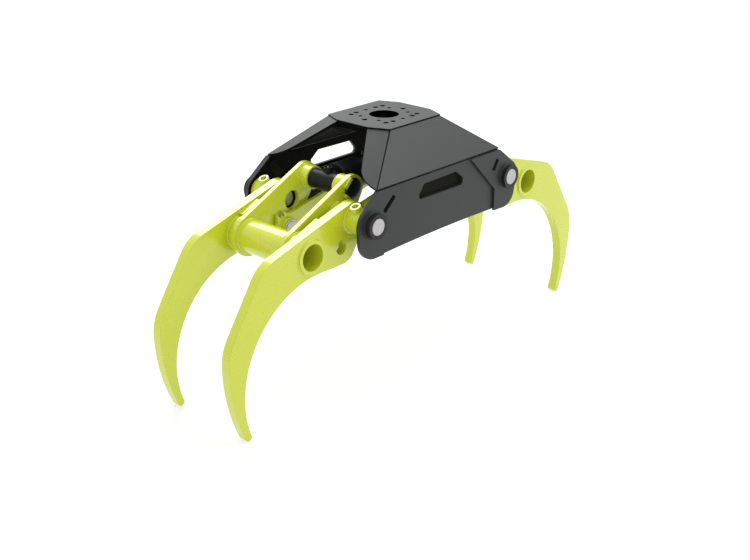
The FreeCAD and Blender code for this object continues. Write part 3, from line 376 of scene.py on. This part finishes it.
# ---------------------------------------------------------------- tines
# The tines are 30 mm wear plate, flame cut, so their edges carry fine drag lines across the thickness.
# The jaws are sprayed in gloss yellow-green over the welds.

JAW_COLOUR = (0.545, 0.605, 0.022)


def jaw_paint(name, drag=True):
    """Gloss paint with a clear top layer: faint orange peel on the flats, drag lines below it on cut edges"""
    finish = Finish(name, Coat_Weight=0.7, Coat_Roughness=0.06, Specular_IOR_Level=0.5)
    drift = finish.noise(6.0, 3.0)
    fine = finish.noise(160.0)
    amount = drift * 0.8 + fine * 0.2
    finish.feed("Base Color", finish.mix(amount, shade(JAW_COLOUR, 0.96), shade(JAW_COLOUR, 1.04)))
    finish.feed("Roughness", 0.24 + drift * 0.05 + fine * 0.02)
    peel = finish.noise(240.0)
    height = peel
    if drag:
        facing = finish.part(finish.add("ShaderNodeNewGeometry", {}, {}, "Normal"), "Y")
        size = finish.add("ShaderNodeMath", {"operation": "ABSOLUTE"}, {0: facing})
        edge = 1.0 - finish.step(size, 0.3, 0.6)
        lines = finish.noise(620.0, 1.0, finish.stretched(1.0, 0.03, 1.0))
        height = peel * 0.6 + lines * edge * 0.7
    finish.relief(height, 0.05, 0.0002, 0.0017)
    return finish.material


tine_paint = jaw_paint("tine_paint")
tines = ["left_tine_front", "left_tine_rear", "right_tine_front", "right_tine_rear"]
dress(tine_paint, *tines)


# ---------------------------------------------------------------- cross tubes, arms, collars and gussets
# A thick tube joins each pair of tines and passes through the arms that the cylinder pushes on. Collars
# and leaning gussets stiffen the joint, and every crossing has a fillet weld all round.

tube_paint = jaw_paint("tube_paint", False)
tube_spot, arm_faces = {}, {}
for side in pivots:
    dress(tube_paint, f"{side}_cross_tube", f"{side}_collars", f"{side}_pin_bosses", f"{side}_sleeve_front",
          f"{side}_sleeve_rear")
    dress(tine_paint, f"{side}_arm_front", f"{side}_arm_rear", f"{side}_gussets")
    low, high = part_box(f"{side}_cross_tube")
    tube_spot[side] = ((low.x + high.x) / 2, (low.z + high.z) / 2, (high.z - low.z) / 2)
    arm_faces[side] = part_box(f"{side}_arm_rear")

SLEEVE_RADIUS = 0.0385
TUBE_LEG = 0.0035
SLEEVE_LEG = 0.0035
SMALL_LEG = 0.0025
for side, x in pivots.items():
    spots = []
    tube_x, tube_z, tube_radius = tube_spot[side]
    for place, hand in (("front", -1), ("rear", 1)):
        low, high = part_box(f"{side}_tine_{place}")
        inner, outer = (high.y, low.y) if hand < 0 else (low.y, high.y)
        for face, way, leg in ((inner, -hand, TUBE_LEG), (outer, hand, SMALL_LEG)):
            spots.append((tube_x, tube_z, tube_radius, face, way, leg))
        for face, way in ((inner, -hand), (outer, hand)):
            spots.append((x, pivot_z, SLEEVE_RADIUS, face, way, SLEEVE_LEG))
        arm_outer = hand * arm_faces[side][1].y
        collar_low, collar_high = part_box(f"{side}_collars")
        collar_radius = (collar_high.z - collar_low.z) / 2
        spots.append((x, pivot_z, SLEEVE_RADIUS, arm_outer, hand, SLEEVE_LEG))
        spots.append((tube_x, tube_z, collar_radius, arm_outer, hand, SMALL_LEG))
        spots.append((tube_x, tube_z, tube_radius, hand * collar_high.y, hand, TUBE_LEG))
        spots.append((tube_x, tube_z, tube_radius, hand * arm_faces[side][0].y, -hand, TUBE_LEG))
        boss_low, boss_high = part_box(f"{side}_pin_bosses")
        boss_x, boss_z = (boss_low.x + boss_high.x) / 2, (boss_low.z + boss_high.z) / 2
        boss_radius = (boss_high.z - boss_low.z) / 2
        # the links lie close beside the right arms, so there is no bead on that jaw's bosses
        if side == "left":
            spots.append((boss_x, boss_z, boss_radius, hand * arm_faces[side][0].y, -hand, SMALL_LEG))
    ring_bead(f"{side}_jaw_welds", spots, f"{side}_jaw", tube_paint)


# ---------------------------------------------------------------- grease nipples
# Straight hexagon nipples in zinc-plated steel, screwed into the floor of each grease cup. Each has a
# chamfered hexagon, a short shank and a ball head.

nipple_steel = ground_steel("nipple_steel", (0.58, 0.58, 0.6), (0.0, 0.0))


HEX_HALF_FLATS = 0.00433
# sides, radius at the start and the end, start and end: hexagon, its chamfer, shank
NIPPLE_STEPS = [(6, 0.0050, 0.0050, 0.0, 0.0042), (6, 0.0049, 0.0036, 0.0042, 0.0050),
                (20, 0.0027, 0.0020, 0.0048, 0.0072)]
BALL_HEIGHT = 0.0078
BALL_RADIUS = 0.0022


def nipple_part(maker, foot, up, segments, low_radius, high_radius, start, end):
    """One turned step of a nipple, from start to end along its axis"""
    turn = Vector((0, 0, 1)).rotation_difference(up).to_matrix().to_4x4()
    middle = Matrix.Translation(foot + up * (start + end) / 2)
    bmesh.ops.create_cone(maker, cap_ends=True, segments=segments, radius1=low_radius, radius2=high_radius,
                          depth=end - start, matrix=middle @ turn)


def nipples(name, node, body, feet):
    """All the nipples of one CAD node, which this piece replaces; feet are (foot, direction)"""
    maker = bmesh.new()
    for foot, up in feet:
        for step in NIPPLE_STEPS:
            nipple_part(maker, foot, up, *step)
        crown = Matrix.Translation(foot + up * BALL_HEIGHT)
        bmesh.ops.create_uvsphere(maker, u_segments=20, v_segments=12, radius=BALL_RADIUS, matrix=crown)
    piece = finished(name, maker, body, nipple_steel)
    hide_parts(node)
    return piece


NIPPLE_LENGTH = 0.010
CUP_TILT = math.radians(22)
NOTCH_LEAN = math.radians(29)
for side, hand in (("left", -1), ("right", 1)):
    low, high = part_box(f"{side}_nipples")
    up = Vector((hand * math.sin(CUP_TILT), 0, math.cos(CUP_TILT)))
    middle = Vector(((low.x + high.x) / 2, 0, (low.z + high.z) / 2)) - up * NIPPLE_LENGTH / 2
    reach = (high.y - low.y) / 2 - HEX_HALF_FLATS
    feet = [(middle + Vector((0, way * reach, 0)), up) for way in (-1, 1)]
    nipples(f"{side}_grease_nipples", f"{side}_nipples", f"{side}_jaw", feet)
singles = [("rod_eye", "cylinder_rod", 0.0), ("base_eye", "cylinder_barrel", 0.0)]
singles += [("link_front", "front_link", NOTCH_LEAN), ("link_rear", "rear_link", NOTCH_LEAN)]
for place, body, lean in singles:
    node = place + "_nipple" if "eye" in place else place.replace("link", "link_nipple")
    low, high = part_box(node)
    up = Vector((-math.sin(lean), 0, math.cos(lean)))
    foot = (low + high) / 2 - up * NIPPLE_LENGTH / 2
    nipples(node + "_detailed", node, body, [(foot, up)])


# ---------------------------------------------------------------- bushes
# Pressed-in bushes of hardened steel, turned and bored, carry the jaws on their pivot pins. They come
# blackened, and the pins leave them a thin film of grease.

bush_steel = ground_steel("bush_steel", (0.035, 0.034, 0.034), (0.0, 0.0))
dress(bush_steel, "left_bushes", "right_bushes")


# ---------------------------------------------------------------- cylinder pins and keepers
# Each pin has a black domed head with two flats. Keeper bars welded to the arm bear on the flats and stop
# the pin from turning.

BLACK = (0.0060, 0.0072, 0.0070)


def black_gloss(name, roughness, specular):
    finish = Finish(name, Specular_IOR_Level=specular)
    drift = finish.noise(14.0, 3.0)
    finish.feed("Base Color", finish.mix(drift, shade(BLACK, 0.8), shade(BLACK, 1.3)))
    finish.feed("Roughness", roughness + drift * 0.1)
    finish.relief(finish.noise(260.0), 0.08, 0.0003, 0.0012)
    return finish.material


cylinder_black = black_gloss("cylinder_black", 0.33, 0.16)
pin_black = black_gloss("pin_black", 0.24, 0.5)
HEAD_FLAT = 0.028
HEAD_THICK = 0.010
DOME_HEIGHT = 0.007
DOME_STEPS = 12
SHANK_RADIUS = 0.0225
SHANK_CHAMFER = 0.002
FLAT_TURNS = (math.radians(135), math.radians(225))
for side in pivots:
    node = f"{side}_cylinder_pin"
    low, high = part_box(node)
    boss_low, boss_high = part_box(f"{side}_pin_bosses")
    centre_x = (boss_low.x + boss_high.x) / 2
    centre_z = (low.z + high.z) / 2
    head_radius = (high.z - low.z) / 2
    maker = bmesh.new()
    head_back = low.y + HEAD_THICK
    turns = [math.pi / 2 * i / DOME_STEPS for i in range(DOME_STEPS + 1)]
    outline = [(math.sin(turn) * head_radius, low.y + DOME_HEIGHT * (1 - math.cos(turn))) for turn in turns]
    outline += [(head_radius, head_back), (SHANK_RADIUS, head_back), (SHANK_RADIUS, high.y - SHANK_CHAMFER)]
    outline += [(SHANK_RADIUS - SHANK_CHAMFER, high.y), (0.0, high.y)]
    points = [maker.verts.new((centre_x + out, y, centre_z)) for out, y in outline]
    lines = [maker.edges.new((points[i], points[i + 1])) for i in range(len(points) - 1)]
    bmesh.ops.spin(maker, geom=points + lines, cent=(centre_x, 0, centre_z), axis=(0, 1, 0), angle=math.tau,
                   steps=96, use_merge=True)
    bmesh.ops.remove_doubles(maker, verts=maker.verts, dist=0.00001)
    for lean in FLAT_TURNS:
        way = Vector((math.cos(lean), 0, -math.sin(lean)))
        for vert in maker.verts:
            proud = (vert.co - Vector((centre_x, 0, centre_z))).dot(way) - HEAD_FLAT
            if proud > 0 and vert.co.y < head_back + 0.0001:
                vert.co -= way * proud
    piece = finished(f"{side}_cylinder_pin_turned", maker, f"{side}_jaw", pin_black, 28.0)
    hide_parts(node)
    dress(tube_paint, f"{side}_pin_keepers")


# ---------------------------------------------------------------- cylinder
# A welded double-acting cylinder in black gloss: tube, screwed gland, cap and eyes. The rod is ground and
# hard chromed; the piston inside is turned steel with moulded seals and a lock nut.

dress(cylinder_black, "barrel", "gland", "base_eye", "rod_eye")
chrome = Finish("rod_chrome", Metallic=1.0, Base_Color=(0.72, 0.73, 0.75, 1.0))
grain = chrome.noise(900.0, 1.0, chrome.stretched(1.0, 0.02, 0.02))
chrome.feed("Roughness", 0.10 + chrome.noise(30.0) * 0.06)
chrome.relief(grain, 0.03, 0.0001, 0.0006)
dress(chrome.material, "rod")
dress(ground_steel("turned_steel", (0.42, 0.42, 0.43), (0.0, 0.0)), "piston", "piston_nut")
seal_rubber = Finish("seal_rubber", Base_Color=(0.02, 0.02, 0.02, 1.0))
seal_rubber.feed("Roughness", 0.5 + seal_rubber.noise(200.0) * 0.2)
dress(seal_rubber.material, "piston_seals")


# ---------------------------------------------------------------- links and their pins
# Two links tie the jaws together. Each is a 12 mm plate with an eye boss inside it, on a pin that is
# welded into the left arms and held by a clip.

link_paint = jaw_paint("link_paint")
dress(link_paint, "link_front", "link_rear")
link_x, _, link_z = joints["front_link_swivel"]["pos_m"]
link_steel = ground_steel("link_pin_steel", (0.55, 0.54, 0.55), (link_x, link_z))
dress(link_steel, "link_pins", "link_pin_clips")
LINK_PIN_RADIUS = 0.020
LINK_PIN_LEG = 0.0018
pin_spots = []
for hand in (-1, 1):
    pin_spots.append((link_x, link_z, LINK_PIN_RADIUS, hand * arm_faces["left"][1].y, hand, LINK_PIN_LEG))
ring_bead("link_pin_welds", pin_spots, "left_jaw", tube_paint)


# ---------------------------------------------------------------- floor, light and camera
# A plain pale studio floor under a white sky, a soft light above and a second one behind that puts the
# bright line on the upward edges of the jaws.

bpy.ops.mesh.primitive_plane_add(size=40, location=(0, 0, cad_box[0][2] - 0.002))
floor = bpy.context.object
floor.name = "floor"
floor_white = Finish("floor_white", Base_Color=(0.42, 0.42, 0.42, 1.0), Roughness=0.9,
                     Emission_Color=(1.0, 1.0, 1.0, 1.0), Emission_Strength=0.56)
floor.data.materials.append(floor_white.material)

bpy.context.scene.view_settings.view_transform = "Standard"
world = bpy.data.worlds.new("studio")
bpy.context.scene.world = world
world.use_nodes = True
world.node_tree.nodes["Background"].inputs["Color"].default_value = (1, 1, 1, 1)
world.node_tree.nodes["Background"].inputs["Strength"].default_value = 1.0


def softbox(name, spot, aim, size, power):
    """A square soft light at a spot, facing an aim"""
    light = bpy.data.lights.new(name, "AREA")
    light.shape = "SQUARE"
    light.size = size
    light.energy = power
    thing = bpy.data.objects.new(name, light)
    thing.location = spot
    thing.rotation_euler = (Vector(aim) - Vector(spot)).to_track_quat("-Z", "Y").to_euler()
    bpy.context.scene.collection.objects.link(thing)


softbox("top", (1.7, -1.0, 2.8), (0, 0, -0.3), 2.4, 55)
softbox("rim", (1.2, 3.0, 3.0), (0, 0, -0.3), 2.6, 95)

right = Vector((0.674, -0.7387, 0.0)).normalized()
back = Vector((-0.6789, -0.6195, 0.3941)).normalized()
up = back.cross(right).normalized()
camera_data = bpy.data.cameras.new("camera")
camera_data.sensor_width = 36.0
camera_data.lens = 53.7504
camera = bpy.data.objects.new("camera", camera_data)
camera.matrix_world = Matrix((right, up, back)).transposed().to_4x4()
camera.location = -(right * 0.0276 + up * 0.5012) + back * 3.3795
bpy.context.scene.collection.objects.link(camera)
bpy.context.scene.camera = camera
